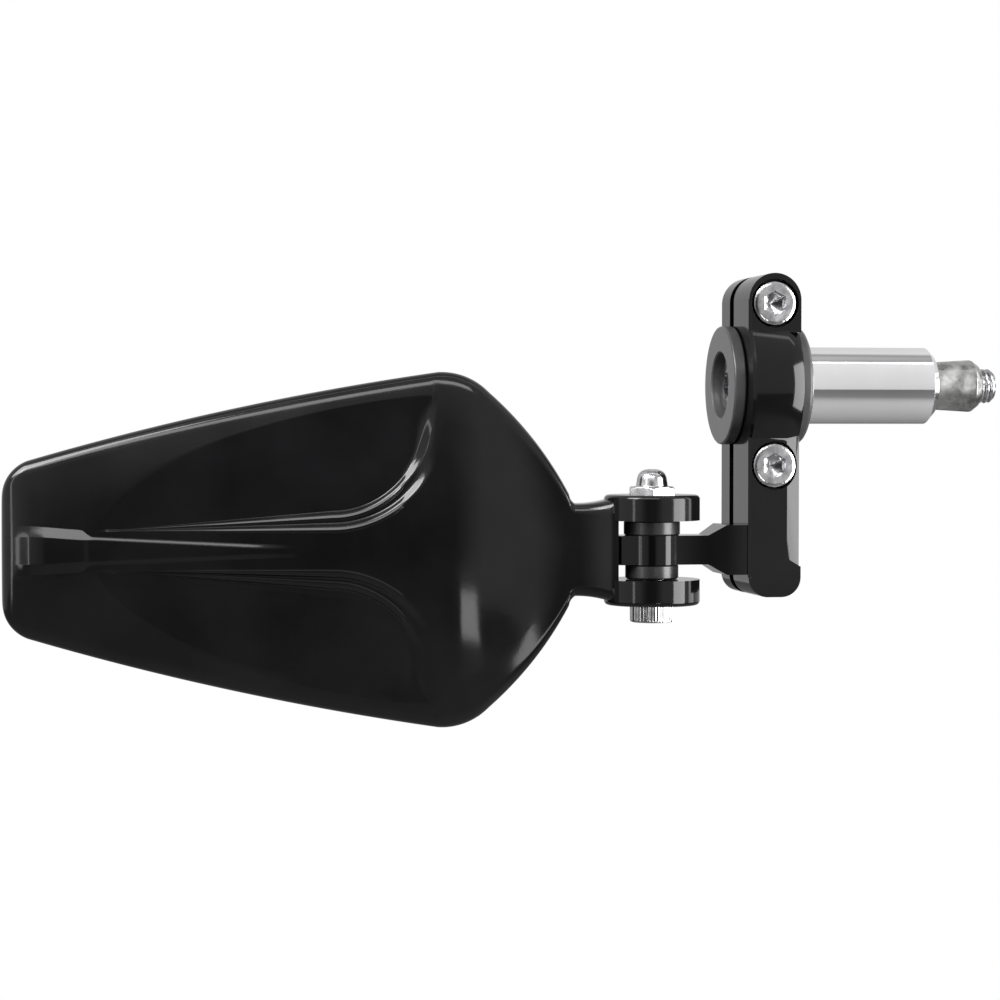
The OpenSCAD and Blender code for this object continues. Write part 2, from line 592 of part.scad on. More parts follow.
module insert_sleeve() color([0.8, 0.8, 0.82]) difference() {
    bore_r = sleeve_bore_d / 2;
    socket_r = spigot_d / 2 + run_gap;
    socket_x = spigot_len + face_gap;
    foot = sleeve_d / 2 - 3 * fit_gap;
    turned() polygon([[socket_r, -sleeve_sunk], [foot, -sleeve_sunk], [foot, 0], [sleeve_d / 2, 0],
        [sleeve_d / 2, sleeve_len - sleeve_chamfer],
        [sleeve_d / 2 - sleeve_chamfer, sleeve_len], [mouth_r(sleeve_len), sleeve_len],
        [mouth_r(mouth_x0), mouth_x0], [bore_r, mouth_x0], [bore_r, socket_x], [socket_r, socket_x]]);
    translate([saw_cut_start, 0, -saw_cut_w / 2]) cube([sleeve_len, sleeve_d, saw_cut_w]);
    rotate([-keyway_angle, 0, 0]) translate([mouth_x0, -keyway_r, -keyway_w / 2])
        cube([sleeve_len, keyway_r - 2, keyway_w]);
}

module expander_wedge() color([0.62, 0.62, 0.6]) difference() {
    end_x = wedge_x1 - wedge_chamfer;
    union() {
        turned() polygon([[0, wedge_x0], [wedge_r(wedge_x0), wedge_x0], [wedge_r(end_x), end_x],
            [wedge_r(end_x) - 1.15, wedge_x1], [0, wedge_x1]]);
        rotate([-keyway_angle, 0, 0]) translate([wedge_x0 + 2, -key_r, -key_w / 2])
            cube([sleeve_len - wedge_x0 - 2.1, key_r - 1, key_w]);
    }
    rod(bolt_d / 2 + run_gap, wedge_x0 - 1, wedge_x1 + 1);
}

module expander_bolt() color([0.7, 0.7, 0.71]) translate([bolt_seat_x, 0, 0]) rotate([0, 90, 0])
    cap_screw(bolt_d, bolt_len, bolt_head_d, bolt_head_h, bolt_key);

module bolt_washer() color([0.7, 0.7, 0.71]) turned()
    polygon([[bolt_d / 2 + 0.2, bolt_seat_x], [washer_d / 2, bolt_seat_x], [washer_d / 2, web_x],
        [bolt_d / 2 + 0.2, web_x]]);

mirror_housing();
backing_plate();
adhesive_pad();
mirror_glass();
pivot_bolt();
dome_nut();
upper_bush();
lower_bush();
clamp_front();
clamp_rear();
upper_clamp_screw();
lower_clamp_screw();
end_spool();
insert_sleeve();
expander_wedge();
expander_bolt();
bolt_washer();
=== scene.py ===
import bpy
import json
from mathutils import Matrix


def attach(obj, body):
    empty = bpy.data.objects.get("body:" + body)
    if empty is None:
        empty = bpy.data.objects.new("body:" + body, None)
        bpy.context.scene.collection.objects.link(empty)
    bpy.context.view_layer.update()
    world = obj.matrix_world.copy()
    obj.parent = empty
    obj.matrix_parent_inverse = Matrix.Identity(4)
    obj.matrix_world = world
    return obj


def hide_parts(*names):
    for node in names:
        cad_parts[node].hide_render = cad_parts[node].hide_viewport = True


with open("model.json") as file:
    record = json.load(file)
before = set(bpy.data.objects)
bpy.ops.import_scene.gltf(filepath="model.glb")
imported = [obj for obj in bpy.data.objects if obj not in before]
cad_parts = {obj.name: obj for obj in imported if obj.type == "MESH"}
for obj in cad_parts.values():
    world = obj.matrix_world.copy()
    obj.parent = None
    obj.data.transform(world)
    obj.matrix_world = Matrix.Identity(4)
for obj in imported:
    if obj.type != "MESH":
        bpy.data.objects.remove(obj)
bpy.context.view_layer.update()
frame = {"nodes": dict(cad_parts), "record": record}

import json
import math

import bpy
from mathutils import Matrix, Vector

MM = 0.001
TAU = 2 * math.pi
AXIS_R = 1e-4     # radius, in mm, that stands for a point on a turned piece's axis
MERGE = 1e-7      # points closer than this, in metres, become one
EVERY_SIDE = 28   # edges sharper than this, in degrees, are rounded on castings and turned pieces


# Helpers that stand for work at the bench

def fresh():
    """Leaves edit mode and deselects everything."""
    if bpy.context.mode != "OBJECT":
        bpy.ops.object.mode_set(mode="OBJECT")
    bpy.ops.object.select_all(action="DESELECT")


def pick(piece):
    """Selects one piece alone."""
    fresh()
    piece.select_set(True)
    bpy.context.view_layer.objects.active = piece


def settle(piece):
    """Puts the object at the origin, with its place in its mesh."""
    pick(piece)
    bpy.ops.object.transform_apply(location=True, rotation=True, scale=True)


def outward(piece):
    """Merges doubled points and turns every face outwards."""
    pick(piece)
    bpy.ops.object.mode_set(mode="EDIT")
    bpy.ops.mesh.select_all(action="SELECT")
    bpy.ops.mesh.remove_doubles(threshold=MERGE)
    bpy.ops.mesh.normals_make_consistent(inside=False)
    bpy.ops.object.mode_set(mode="OBJECT")


def apply_modifier(piece, kind, **values):
    pick(piece)
    m = piece.modifiers.new(kind.lower(), kind)
    for key, value in values.items():
        setattr(m, key, value)
    bpy.ops.object.modifier_apply(modifier=m.name)


def combine(piece, tool, operation):
    """Cuts, joins or keeps what a second piece covers, and removes that piece."""
    settle(piece)
    settle(tool)
    apply_modifier(piece, "BOOLEAN", operation=operation, object=tool, solver="EXACT")
    bpy.data.objects.remove(tool, do_unlink=True)


def cut(piece, tool):
    combine(piece, tool, "DIFFERENCE")


def weld(piece, tool):
    combine(piece, tool, "UNION")


def soften(piece, width, segments=3, angle=EVERY_SIDE):
    """Rounds every edge sharper than an angle."""
    outward(piece)
    pick(piece)
    bpy.ops.object.mode_set(mode="EDIT")
    bpy.ops.mesh.select_all(action="SELECT")
    bpy.ops.mesh.dissolve_limited(angle_limit=math.radians(0.05))
    bpy.ops.object.mode_set(mode="OBJECT")
    apply_modifier(piece, "BEVEL", width=width * MM, segments=segments, limit_method="ANGLE",
                   angle_limit=math.radians(angle), use_clamp_overlap=True)


def smooth(piece, angle):
    """Shades smoothly over soft edges, with the large flat faces kept flat."""
    pick(piece)
    bpy.ops.object.shade_smooth_by_angle(angle=math.radians(angle))
    apply_modifier(piece, "WEIGHTED_NORMAL", keep_sharp=True, weight=90)


def open_edges(piece):
    """Selects the edges that belong to one face only, and counts them."""
    bpy.ops.mesh.select_all(action="DESELECT")
    bpy.ops.mesh.select_mode(type="EDGE")
    bpy.ops.mesh.select_non_manifold()
    bpy.ops.object.mode_set(mode="OBJECT")
    found = sum(e.select for e in piece.data.edges)
    bpy.ops.object.mode_set(mode="EDIT")
    return found


TURN = {"X": (0, math.pi / 2, 0), "Y": (math.pi / 2, 0, 0), "Z": (0, 0, 0)}


def lathe(name, profile, axis="X", at=(0, 0, 0), sides=96):
    """Turns a closed ring of [radius, place along the axis] points, in mm, ring by ring."""
    fresh()
    index = "XYZ".index(axis)
    along = Vector([1.0 if k == index else 0.0 for k in range(3)])
    base = Vector(at)
    r, s = profile[0]
    bpy.ops.mesh.primitive_circle_add(vertices=sides, radius=r * MM, location=(base + along * s) * MM,
                                      rotation=TURN[axis])
    piece = bpy.context.object
    piece.name = name
    settle(piece)
    bpy.ops.object.mode_set(mode="EDIT")
    bpy.ops.mesh.select_all(action="SELECT")
    for next_r, next_s in profile[1:]:
        bpy.ops.mesh.extrude_edges_move(TRANSFORM_OT_translate={"value": along * (next_s - s) * MM})
        k = max(next_r, AXIS_R) / max(r, AXIS_R)
        scale = [1.0 if q == index else k for q in range(3)]
        bpy.ops.transform.resize(value=scale, center_override=(base + along * next_s) * MM)
        r, s = next_r, next_s
    if min(profile[0][0], profile[-1][0]) > AXIS_R and open_edges(piece):
        bpy.ops.mesh.bridge_edge_loops()
    bpy.ops.object.mode_set(mode="OBJECT")
    outward(piece)
    return piece


def solid_lathe(name, profile, **more):
    """A turned solid whose profile starts and ends on the axis."""
    return lathe(name, [(AXIS_R, profile[0][1])] + list(profile) + [(AXIS_R, profile[-1][1])], **more)


def rod(name, r, a0, a1, axis="X", at=(0, 0, 0), sides=96):
    """A plain round bar between two places along an axis."""
    return solid_lathe(name, [(r, a0), (r, a1)], axis=axis, at=at, sides=sides)


def plate(name, outline, a0, a1, axis="Y"):
    """An outline made solid between two places along an axis. It gives the other two coordinates, in mm."""
    fresh()
    bpy.ops.mesh.primitive_circle_add(vertices=len(outline), radius=1, fill_type="NGON")
    piece = bpy.context.object
    piece.name = name
    index = "XYZ".index(axis)
    for v, p in zip(piece.data.vertices, outline):
        co = list(p)
        co.insert(index, a0)
        v.co = Vector(co) * MM
    pick(piece)
    bpy.ops.object.mode_set(mode="EDIT")
    bpy.ops.mesh.select_all(action="SELECT")
    step = [0.0, 0.0, 0.0]
    step[index] = (a1 - a0) * MM
    bpy.ops.mesh.extrude_region_move(TRANSFORM_OT_translate={"value": step})
    bpy.ops.object.mode_set(mode="OBJECT")
    outward(piece)
    return piece


def block(name, x0, x1, y0, y1, z0, z1, turn=0.0):
    """A bar along the insert's axis, turned round that axis."""
    piece = plate(name, [(y0, z0), (y1, z0), (y1, z1), (y0, z1)], x0, x1, axis="X")
    piece.data.transform(Matrix.Rotation(turn, 4, "X"))
    return piece


def arc(centre, r, a0, a1, n=5):
    """Points of an arc between two angles in degrees."""
    return [(centre[0] + r * math.cos(math.radians(a0 + (a1 - a0) * k / n)),
             centre[1] + r * math.sin(math.radians(a0 + (a1 - a0) * k / n))) for k in range(n + 1)]


def bow(p, q, sag, n):
    """Points between two ends of a line that bows out by a sag."""
    dx, dy = q[0] - p[0], q[1] - p[1]
    size = math.hypot(dx, dy)
    return [(p[0] + dx * k / n + dy / size * 4 * sag * (k / n) * (1 - k / n),
             p[1] + dy * k / n - dx / size * 4 * sag * (k / n) * (1 - k / n)) for k in range(1, n)]


def mix(a, b, t):
    return a + (b - a) * t


def spread(a, b, n):
    """Even steps from a to b, without a."""
    return [mix(a, b, k / n) for k in range(1, n + 1)]


def ease(t):
    """A soft step from 0 to 1."""
    t = min(1.0, max(0.0, t))
    return t * t * (3 - 2 * t)


def quarter(t):
    """A quarter of a circle, from 0 to 1."""
    t = min(1.0, max(0.0, t))
    return math.sqrt(1 - (1 - t) ** 2)


def squarish(t):
    """A quarter of a squarish round, which turns close to the outline."""
    t = min(1.0, max(0.0, t))
    return (1 - (1 - t) ** 3) ** (1 / 3)


def lookup(x, table):
    """Straight-line reading of a falling table of [x, y] points."""
    if x >= table[0][0]:
        return table[0][1]
    for (x0, y0), (x1, y1) in zip(table, table[1:]):
        if x1 <= x <= x0:
            return y0 if x0 == x1 else mix(y0, y1, (x0 - x) / (x0 - x1))
    return table[-1][1]


# Sizes in mm. On the head, u runs from the pivot to the tip and w is measured from the middle line

joint = {j["name"]: j for j in frame["record"]["behaviour"]["joints"]}
PIVOT = Vector(joint["head_fold"]["pos_m"]) * 1000
YAW = 10

SCREW_D, HEAD_D, HEAD_H, KEY = 6, 10, 6, 5
SCREW_LEN, PIVOT_BOLT_LEN, KNURLS, KNURL_DEPTH = 16, 25, 48, 0.16
HOLE_GAP, THREAD_GAP, SEAT_GAP = 0.05, 0.03, 0.1

FLANGE_T, GROOVE_W, DISC_T, SPOOL_R, SEAT_R = 3.6, 12.4, 2.8, 13.65, 11.1
GROOVE_X1 = -FLANGE_T
GROOVE_X0 = GROOVE_X1 - GROOVE_W
SPOOL_X0 = GROOVE_X0 - DISC_T
SPIGOT_R, SPIGOT_LEN, NEST = 6.5, 3, 0.6
SPOOL_BORE = 7.6

CLAMP_X0, CLAMP_X1 = GROOVE_X0 + 0.1, GROOVE_X1 - 0.1
CLAMP_XM = (CLAMP_X0 + CLAMP_X1) / 2
FRONT_DEPTH, REAR_DEPTH, SPLIT = 15.1, 8.9, 1.75
FRONT_RING_R, REAR_RING_R = 19.4, 14.5
CLAMP_TOP, CLAMP_FOOT, FOOT_R, SCREW_Z = 25.2, 48.2, 4.5, 18.35
SCREW_SEAT_Y = HEAD_H + SEAT_GAP - FRONT_DEPTH
WIDE_BEVEL, WIDE_BEVEL_DEPTH, WIDE_BEVEL_SLANT, WIDE_BEVEL_END = 3.3, 1.6, 0.58, 8.5
THIN_BEVEL = 0.65

SLEEVE_R, SLEEVE_LEN, CHAMFER = 8.9, 31.8, 1.5
SAW_CUT_X, SAW_CUT_HALF, KEYWAY_HALF, KEYWAY_DEPTH = 8, 0.8, 1.15, 1.8
WEDGE_X0, WEDGE_X1, WEDGE_R, WEDGE_SLOPE, WEDGE_NOSE = 23.3, 43.3, 6.1, math.tan(math.radians(3.4)), 1.5
WEDGE_TRAVEL, KEY_HALF, KEY_HEIGHT, KEY_TURN = 3, 0.8, 1.6, math.radians(16)

BOLT_R, BOLT_HEAD_R, BOLT_KEY, BOLT_PITCH, THREAD_LEN = 4, 6.5, 6, 1.25, 9
BOLT_FACE_X = SPOOL_X0 + 1.9
BOLT_SEAT_X = BOLT_FACE_X + 8
WEB_X = BOLT_SEAT_X + 2
BOLT_TIP = BOLT_SEAT_X + 56.1

EYE_R, TONGUE_T, TONGUE_W, LUG_REACH = 6.4, 6.6, 9, 9.2
BOSS_H, BOSS_LEN, FLARE_LEN = 11.3, 4.8, 4
BUSH_R, UPPER_COLLAR_R, LOWER_COLLAR_R = 4, 6.4, 6.05

TIP_U, TIP_R, TIP_W = 147.3, 9, 11.8
SHOULDER_U, SHOULDER_W, SHOULDER_R, SHOULDER_END = 47.7, 25.5, 14.8, 136
SIDE_SAG, NECK_SAG = 1.7, 1.35
NECK_U, NECK_H = 17.1, 20.5
RIM_BACK, RIM_FRONT, EDGE_R, EDGE_RISE, EDGE_STEPS = 5, 1.5, 3.5, 3, 12
CROWN, CROWN_RUN, NECK_DIP, TIP_DROP = 4.5, 27, 0.3, 2.2
THROAT, THROAT_LEN = 2.2, 11
WING_TIP_U, WING_ROOT_U, SWOOSH_U, BAND_TIP_U = 126.2, 47.4, 72, 118
SPINE_W, SPINE_RISE, SWOOSH_H, WING_H, BAND_W, WING_DEPTH = 4.3, 1.5, 31.2, 35, 2.7, 1.8
LEAST_BAND, RIB_HALF_W, RIB_HEIGHT, WING_TIP_RUN = 0.3, 0.65, 0.27, 32
KEEL_SLOPE, KEEL_END_U, FACET_GAP = 0.34, 76, 0.08
KEEL_TOP = ((WING_TIP_U, 2.4), (90, 0.7), (78, 0.5))
KEEL_FOOT = ((WING_TIP_U, 3.2), (90, 1.7), (78, 1.3))

RIM_W, GLASS_T, GLASS_SUNK, GLASS_CORNER_R = 2.2, 2, 0.6, 11.1
GLASS_CORNER = (SHOULDER_U - 15.5, 14)

EAR_IN, EAR_T, EAR_R = 6.7, 5.8, 10.9
EAR_OUT = EAR_IN + EAR_T
SLOT_R, SLOT_FILLET = 9.4, 1.8
HEAD_SUNK, NUT_SUNK, NUT_KEY, NUT_H = 2, 3, 10, 4.9
DOME = ((3.65, -0.3), (3.65, 0.1), (3.5, 1.0), (3.35, 2.0), (3.05, 2.75), (2.5, 3.35), (1.8, 3.7),
        (1.0, 3.87), (0.3, 3.9))


# The head's outline and the forms on its face

side_angle = math.degrees(math.atan2(SHOULDER_W + SHOULDER_R - TIP_W - TIP_R, TIP_U - TIP_R - SHOULDER_U))
bow_angle = 2 * math.degrees(math.atan2(2 * SIDE_SAG, (TIP_U - TIP_R - SHOULDER_U) / 2))


def flank(inset, fine=1):
    """Half of the outline from the tip to the shoulder, moved inwards by an inset."""
    lean = 90 - side_angle
    tip = arc((TIP_U - TIP_R, TIP_W), TIP_R - inset, 0, lean - bow_angle, 10 * fine)
    shoulder = arc((SHOULDER_U, SHOULDER_W), SHOULDER_R - inset, lean + bow_angle, SHOULDER_END, 12 * fine)
    return tip + bow(tip[-1], shoulder[0], SIDE_SAG, 12 * fine) + shoulder


WAIST = (NECK_U + 0.4, NECK_H / 2 + 0.2)
ROOT = (NECK_U + 1.8, NECK_H / 2 + 2.5)
FORK = (SLOT_R - 1.6, EAR_OUT - 0.2)
side = flank(0, 3)
HALF_OUTLINE = (side + bow(side[-1], ROOT, NECK_SAG, 24) + [ROOT] + bow(ROOT, WAIST, -0.3, 8) + [WAIST]
                + bow(WAIST, FORK, -0.5, 12) + [FORK])


def half_w(u):
    return lookup(u, HALF_OUTLINE)


def flat_w(u):
    """Half width of the face inside its rounded edge."""
    return half_w(u) - EDGE_R - 0.5


def glass_outline(inset):
    half = flank(inset, 2) + arc(GLASS_CORNER, GLASS_CORNER_R - inset, 141, 180, 10)
    return half + [(u, -w) for u, w in reversed(half)]


def swoosh(u, u_end, w0, w1):
    """A quarter of an ellipse that rises from w0 at the swoosh's start to w1 at its end."""
    t = max(0.0, (SWOOSH_U - u) / (SWOOSH_U - u_end))
    return w1 - (w1 - w0) * math.sqrt(max(0.0, 1 - t * t))


def along(u, from_u):
    """How far u has come from a place near the tip to the start of the swoosh, from 0 to 1."""
    return min(1.0, max(0.0, (from_u - u) / (from_u - SWOOSH_U)))


def spine_at(u):
    return SPINE_W + SPINE_RISE * along(u, WING_TIP_U)


def keel(u):
    """Half width of the keel's flat top, half width of its foot, and its height."""
    past_wing = u - WING_TIP_U
    flat = lookup(u, KEEL_TOP) + 0.7 * ease(past_wing / 14)
    foot = lookup(u, KEEL_FOOT) + 1.5 * ease(past_wing / 2.5) + 0.9 * ease(past_wing / 16)
    fade = ease((u - KEEL_END_U) / 14) * ease((TIP_U - EDGE_R - u) / 6)
    return flat, foot, KEEL_SLOPE * (foot - flat) * fade


def wing_lines(u):
    """Heights of the swoosh's outer and inner line and of the wing's upper edge."""
    top = 0
    if WING_ROOT_U <= u <= WING_TIP_U:
        band = mix(LEAST_BAND, BAND_W, along(u, BAND_TIP_U))
        outer = swoosh(u, WING_ROOT_U, spine_at(u), SWOOSH_H)
        inner = swoosh(u, WING_ROOT_U + 0.75 * BAND_W, spine_at(u) + band, WING_H)
        inner = max(outer + LEAST_BAND, inner)
        top = WING_H * math.sqrt(1 - ((u - WING_ROOT_U) / (WING_TIP_U - WING_ROOT_U)) ** 1.5)
    elif u < WING_ROOT_U:
        share = flat_w(u) / flat_w(WING_ROOT_U)
        outer, inner = SWOOSH_H * share, WING_H * share
    else:
        outer = max(SPINE_W * flat_w(u) / flat_w(WING_TIP_U), keel(u)[1] + 0.5)
        inner = outer + LEAST_BAND
    return outer, inner, max(top, inner + 0.25 * (inner - outer))


def bands(u):
    """Lines of the wing, half the width of its steps, and half the width of its ribs."""
    outer, inner, top = wing_lines(u)
    return outer, inner, top, 0.2 * (inner - outer), min(RIB_HALF_W, 0.25 * (inner - outer))


def recess_at(u, w):
    """Depth of the wing below the plain face, less the ribs along the swoosh."""
    outer, inner, top, step, rib = bands(u)
    full = WING_DEPTH * ease((WING_TIP_U - u) / WING_TIP_RUN) * ease((u - WING_ROOT_U - 1) / (2.2 * BAND_W))
    if w > inner + step:
        depth = full * (1 - min(1.0, (w - inner - step) / (top - inner - step)) ** 2)
    else:
        depth = full / 2 * (ease((w - outer + step) / (2 * step)) + ease((w - inner + step) / (2 * step)))
    for line in (outer, inner):
        t = (w - line + step + 2 * rib) / (2 * rib)
        if 0 < t < 1:
            depth -= RIB_HEIGHT * rib * full / WING_DEPTH * math.sin(math.pi * t) ** 2
    return depth


def crown_at(u):
    """Rise of the middle line above the rim: up from the neck, then slowly down to the tip."""
    rise = ease((u - NECK_U - 2) / CROWN_RUN)
    return mix(-NECK_DIP, CROWN, rise) - TIP_DROP * ease((u - SWOOSH_U) / 75)


def face_height(u, w):
    """Height of the plain face above the split line of the rim, with the keel and the throat of the neck."""
    hw = half_w(u)
    edge = squarish((hw - abs(w)) / EDGE_R) * squarish((TIP_U - u) / EDGE_R)
    crown = crown_at(u) * (1 - (w / hw) ** 2) * quarter((TIP_U - u) / (3 * EDGE_R))
    flat, foot, rise = keel(u)
    ridge = rise * min(1.0, max(0.0, (foot - abs(w)) / (foot - flat)))
    throat = THROAT * min(1.0, max(0.0, (NECK_U + 3 - u) / THROAT_LEN)) ** 2
    return RIM_FRONT + EDGE_RISE * edge + crown + ridge + throat * edge


def section(u):
    """[height, recess] pairs across one half of the face, close together where the form turns."""
    outer, inner, top, step, rib = bands(u)
    hw = half_w(u)
    flat, foot, _ = keel(u)
    rib_out, rib_in = outer - step - 2 * rib, inner - step - 2 * rib
    places = [0, flat / 2, flat - FACET_GAP, flat + FACET_GAP, (flat + foot) / 2, foot - FACET_GAP]
    spans = ((foot + FACET_GAP, rib_out, 5), (rib_out, outer - step, 6), (outer - step, outer + step, 6),
             (outer + step, rib_in, 2), (rib_in, inner - step, 6), (inner - step, inner + step, 6),
             (inner + step, top, 14), (top, hw - EDGE_R, 5))
    for a, z, n in spans:
        places += [mix(a, z, k / n) for k in range(n)]
    places += [hw - EDGE_R * (1 - math.sin(k / EDGE_STEPS * math.pi / 2)) for k in range(EDGE_STEPS + 1)]
    blur = [k * 0.3 for k in range(-3, 4)] if u < WING_ROOT_U + 9 else [0]
    return [(w, sum(recess_at(u + shift, w) for shift in blur) / len(blur)) for w in places]


NEAR_ROOT = (WING_ROOT_U + 8, WING_ROOT_U - 1)
STATIONS = ([TIP_U - TIP_R * (1 - math.cos(math.radians(a))) for a in range(0, 84, 4)]
            + spread(TIP_U - TIP_R, WING_TIP_U, 12) + spread(WING_TIP_U, SWOOSH_U, 54)
            + spread(SWOOSH_U, NEAR_ROOT[0], 32) + spread(*NEAR_ROOT, 44) + spread(NEAR_ROOT[1], ROOT[0], 36)
            + spread(ROOT[0], WAIST[0], 8) + spread(WAIST[0], FORK[0], 14))


# The housing: a grid laid over the face, closed at the back, with its fork and its seats cut

def face_skin():
    """The face as a grid of stations and sections, with its open edge drawn back and closed."""
    rows = []
    for u in STATIONS:
        half = section(u)
        full = [(-w, depth) for w, depth in reversed(half[1:])] + half
        rows.append([(-u, depth - face_height(u, w), w) for w, depth in full])
    across = len(rows[0])
    fresh()
    bpy.ops.mesh.primitive_grid_add(x_subdivisions=across - 1, y_subdivisions=len(rows) - 1, size=1)
    piece = bpy.context.object
    piece.name = "housing_shell"
    for k, v in enumerate(piece.data.vertices):
        v.co = Vector(rows[k // across][k % across]) * MM
    pick(piece)
    bpy.ops.object.mode_set(mode="EDIT")
    open_edges(piece)
    bpy.ops.mesh.extrude_edges_move(TRANSFORM_OT_translate={"value": (0, 0.02, 0)})
    bpy.ops.transform.resize(value=(1, 0, 1), center_override=(0, RIM_BACK * MM, 0))
    bpy.ops.mesh.edge_face_add()
    bpy.ops.object.mode_set(mode="OBJECT")
    outward(piece)
    return piece


def ear(sign):
    """One ear of the fork, and its root with an edge rounded like the neck's."""
    profile = [(EAR_R, 0)] + arc((EAR_R - 1, EAR_T - 1), 1, 0, 90, 6)
    piece = solid_lathe("ear", [(r, sign * (EAR_IN + h)) for r, h in profile], axis="Z", sides=160)
    front, back, top = -RIM_FRONT - EDGE_RISE - 0.4, RIM_BACK - 0.5, EAR_T - 0.4
    rounded = [(front + EDGE_R - q, top - EDGE_R + p) for p, q in arc((0, 0), EDGE_R, 0, 90, 10)]
    across = [(y, sign * (EAR_IN + h)) for y, h in [(back, 0), (back, top)] + rounded + [(front, 0)]]
    weld(piece, plate("ear_root", across, -FORK[0] - 1.5, -EAR_R / 2, axis="X"))
    return piece


def hexagon(name, half_key, z0, z1):
    """An upright hexagonal bar at the pivot, with a corner towards the camera's side."""
    corner = half_key / math.cos(math.pi / 6)
    angles = [k * math.pi / 3 for k in range(6)]
    return plate(name, [(corner * math.sin(a), corner * math.cos(a)) for a in angles], z0, z1, axis="Z")


def housing():
    """The cast shell: face, ears, slot for the eye, bore, seats of bolt and nut, and seat of the glass."""
    piece = face_skin()
    weld(piece, ear(1))
    weld(piece, ear(-1))
    floor = SLOT_R - SLOT_FILLET
    slot = (arc((floor, SLOT_FILLET - EAR_IN), SLOT_FILLET, -90, 0, 6)
            + arc((floor, EAR_IN - SLOT_FILLET), SLOT_FILLET, 0, 90, 6))
    cut(piece, solid_lathe("slot", slot, axis="Z", sides=128))
    cut(piece, rod("bore", SCREW_D / 2 + HOLE_GAP, -20, 20, "Z", sides=64))
    cut(piece, rod("head_seat", HEAD_D / 2 + 0.25, -EAR_OUT - 1, HEAD_SUNK - EAR_OUT, "Z", sides=64))
    cut(piece, hexagon("nut_seat", NUT_KEY / 2 + 0.1, EAR_OUT - NUT_SUNK, EAR_OUT + 1))
    cut(piece, plate("glass_seat", [(-u, w) for u, w in glass_outline(RIM_W)], 0, RIM_BACK + 1))
    return piece


def glass():
    back = RIM_BACK - GLASS_SUNK
    piece = plate("bevelled_glass", [(-u, w) for u, w in glass_outline(RIM_W + 0.1)], back - GLASS_T, back)
    soften(piece, 0.25, 2, 40)
    return piece


# Screws, nut and bolts

def hex_hole(depth, key, axis, at, mouth):
    """A hexagonal broach along an axis from its mouth, with a drilled cone at its end."""
    corner, drill_r, end = key / 2 / math.cos(math.pi / 6), key / 2 * 0.98, mouth + depth
    tool = rod("broach", corner, mouth - 1, end, axis, at, sides=6)
    weld(tool, solid_lathe("drill", [(drill_r, end - 0.3), (drill_r, end), (0.05, end + key / 4)],
                           axis=axis, at=at, sides=48))
    return tool


def cap_screw(name, length, axis, at):
    """A knurled socket head screw. Its seat is at the given place and its shank runs along the axis."""
    r, shank, tip = HEAD_D / 2, SCREW_D / 2, 0.12 * SCREW_D
    profile = [(r - 1.0, -HEAD_H), (r - 0.5, 0.05 - HEAD_H), (r - 0.15, 0.25 - HEAD_H), (r, 0.7 - HEAD_H)]
    profile += [(r, -0.6), (r - 0.15, -0.15), (r - 0.35, 0)]
    profile += [(shank, 0), (shank, length - tip), (shank - tip, length)]
    piece = solid_lathe(name, profile, axis=axis, at=at, sides=4 * KNURLS)
    index = "XYZ".index(axis)
    for v in piece.data.vertices:
        p = v.co / MM - Vector(at)
        height = p[index]
        p[index] = 0
        if p.length > r - 0.05 and -HEAD_H < height < 0:
            turn = math.atan2(p[(index + 2) % 3], p[(index + 1) % 3]) / TAU * KNURLS
            v.co -= p.normalized() * KNURL_DEPTH * MM * abs(2 * (turn % 1) - 1)
    cut(piece, hex_hole(HEAD_H / 2, KEY, axis, at, -HEAD_H))
    return piece


def clamp_screw(name, z):
    return cap_screw(name, SCREW_LEN, "Y", (CLAMP_XM, SCREW_SEAT_Y, z))


def pivot_bolt(name):
    return cap_screw(name, PIVOT_BOLT_LEN, "Z", PIVOT + Vector((0, 0, HEAD_SUNK - EAR_OUT)))


def dome_nut():
    """A hexagonal nut with chamfered corners and a dome."""
    z0 = EAR_OUT - NUT_SUNK
    top = z0 + NUT_H
    nut = hexagon("dome_nut_body", NUT_KEY / 2, z0, top)
    cone = solid_lathe("nut_chamfer", [(9, z0 - 0.1), (6.6, top - 1.1), (4.7, top)], axis="Z", sides=96)
    combine(nut, cone, "INTERSECT")
    weld(nut, solid_lathe("dome", [(r, top + h) for r, h in DOME], axis="Z", sides=72))
    cut(nut, rod("thread_bore", SCREW_D / 2 + THREAD_GAP, z0 - 1, top + 2.7, "Z", sides=64))
    soften(nut, 0.12, 2)
    return nut


def expander_bolt():
    """The bolt along the insert's axis, with its thread raised on the end that shows."""
    r, head, face, start, rows = BOLT_R, BOLT_HEAD_R, BOLT_FACE_X, BOLT_TIP - THREAD_LEN, 12 * THREAD_LEN
    profile = [(head - 0.9, face), (head - 0.4, face + 0.1), (head - 0.1, face + 0.4), (head, face + 0.9),
               (head, BOLT_SEAT_X - 0.3), (head - 0.3, BOLT_SEAT_X), (r, BOLT_SEAT_X)]
    profile += [(r, mix(start, BOLT_TIP, k / rows)) for k in range(rows + 1)]
    piece = solid_lathe("bolt_with_thread", profile)
    for v in piece.data.vertices:
        x, y, z = v.co / MM
        if x < start - 0.01 or math.hypot(y, z) < r / 2:
            continue
        turn = ((x - start) / BOLT_PITCH - math.atan2(z, y) / TAU) % 1.0
        groove = 0.75 * max(0.0, 1 - abs(turn - 0.5) * 2.6) * ease((x - start) / 1.5)
        lead = 0.8 * max(0.0, 1 - (BOLT_TIP - x) / 0.9)
        k = (r - max(groove, lead)) / r
        v.co.y *= k
        v.co.z *= k
    cut(piece, hex_hole(4, BOLT_KEY, "X", (0, 0, 0), face))
    return piece


# The clamp and its tongue

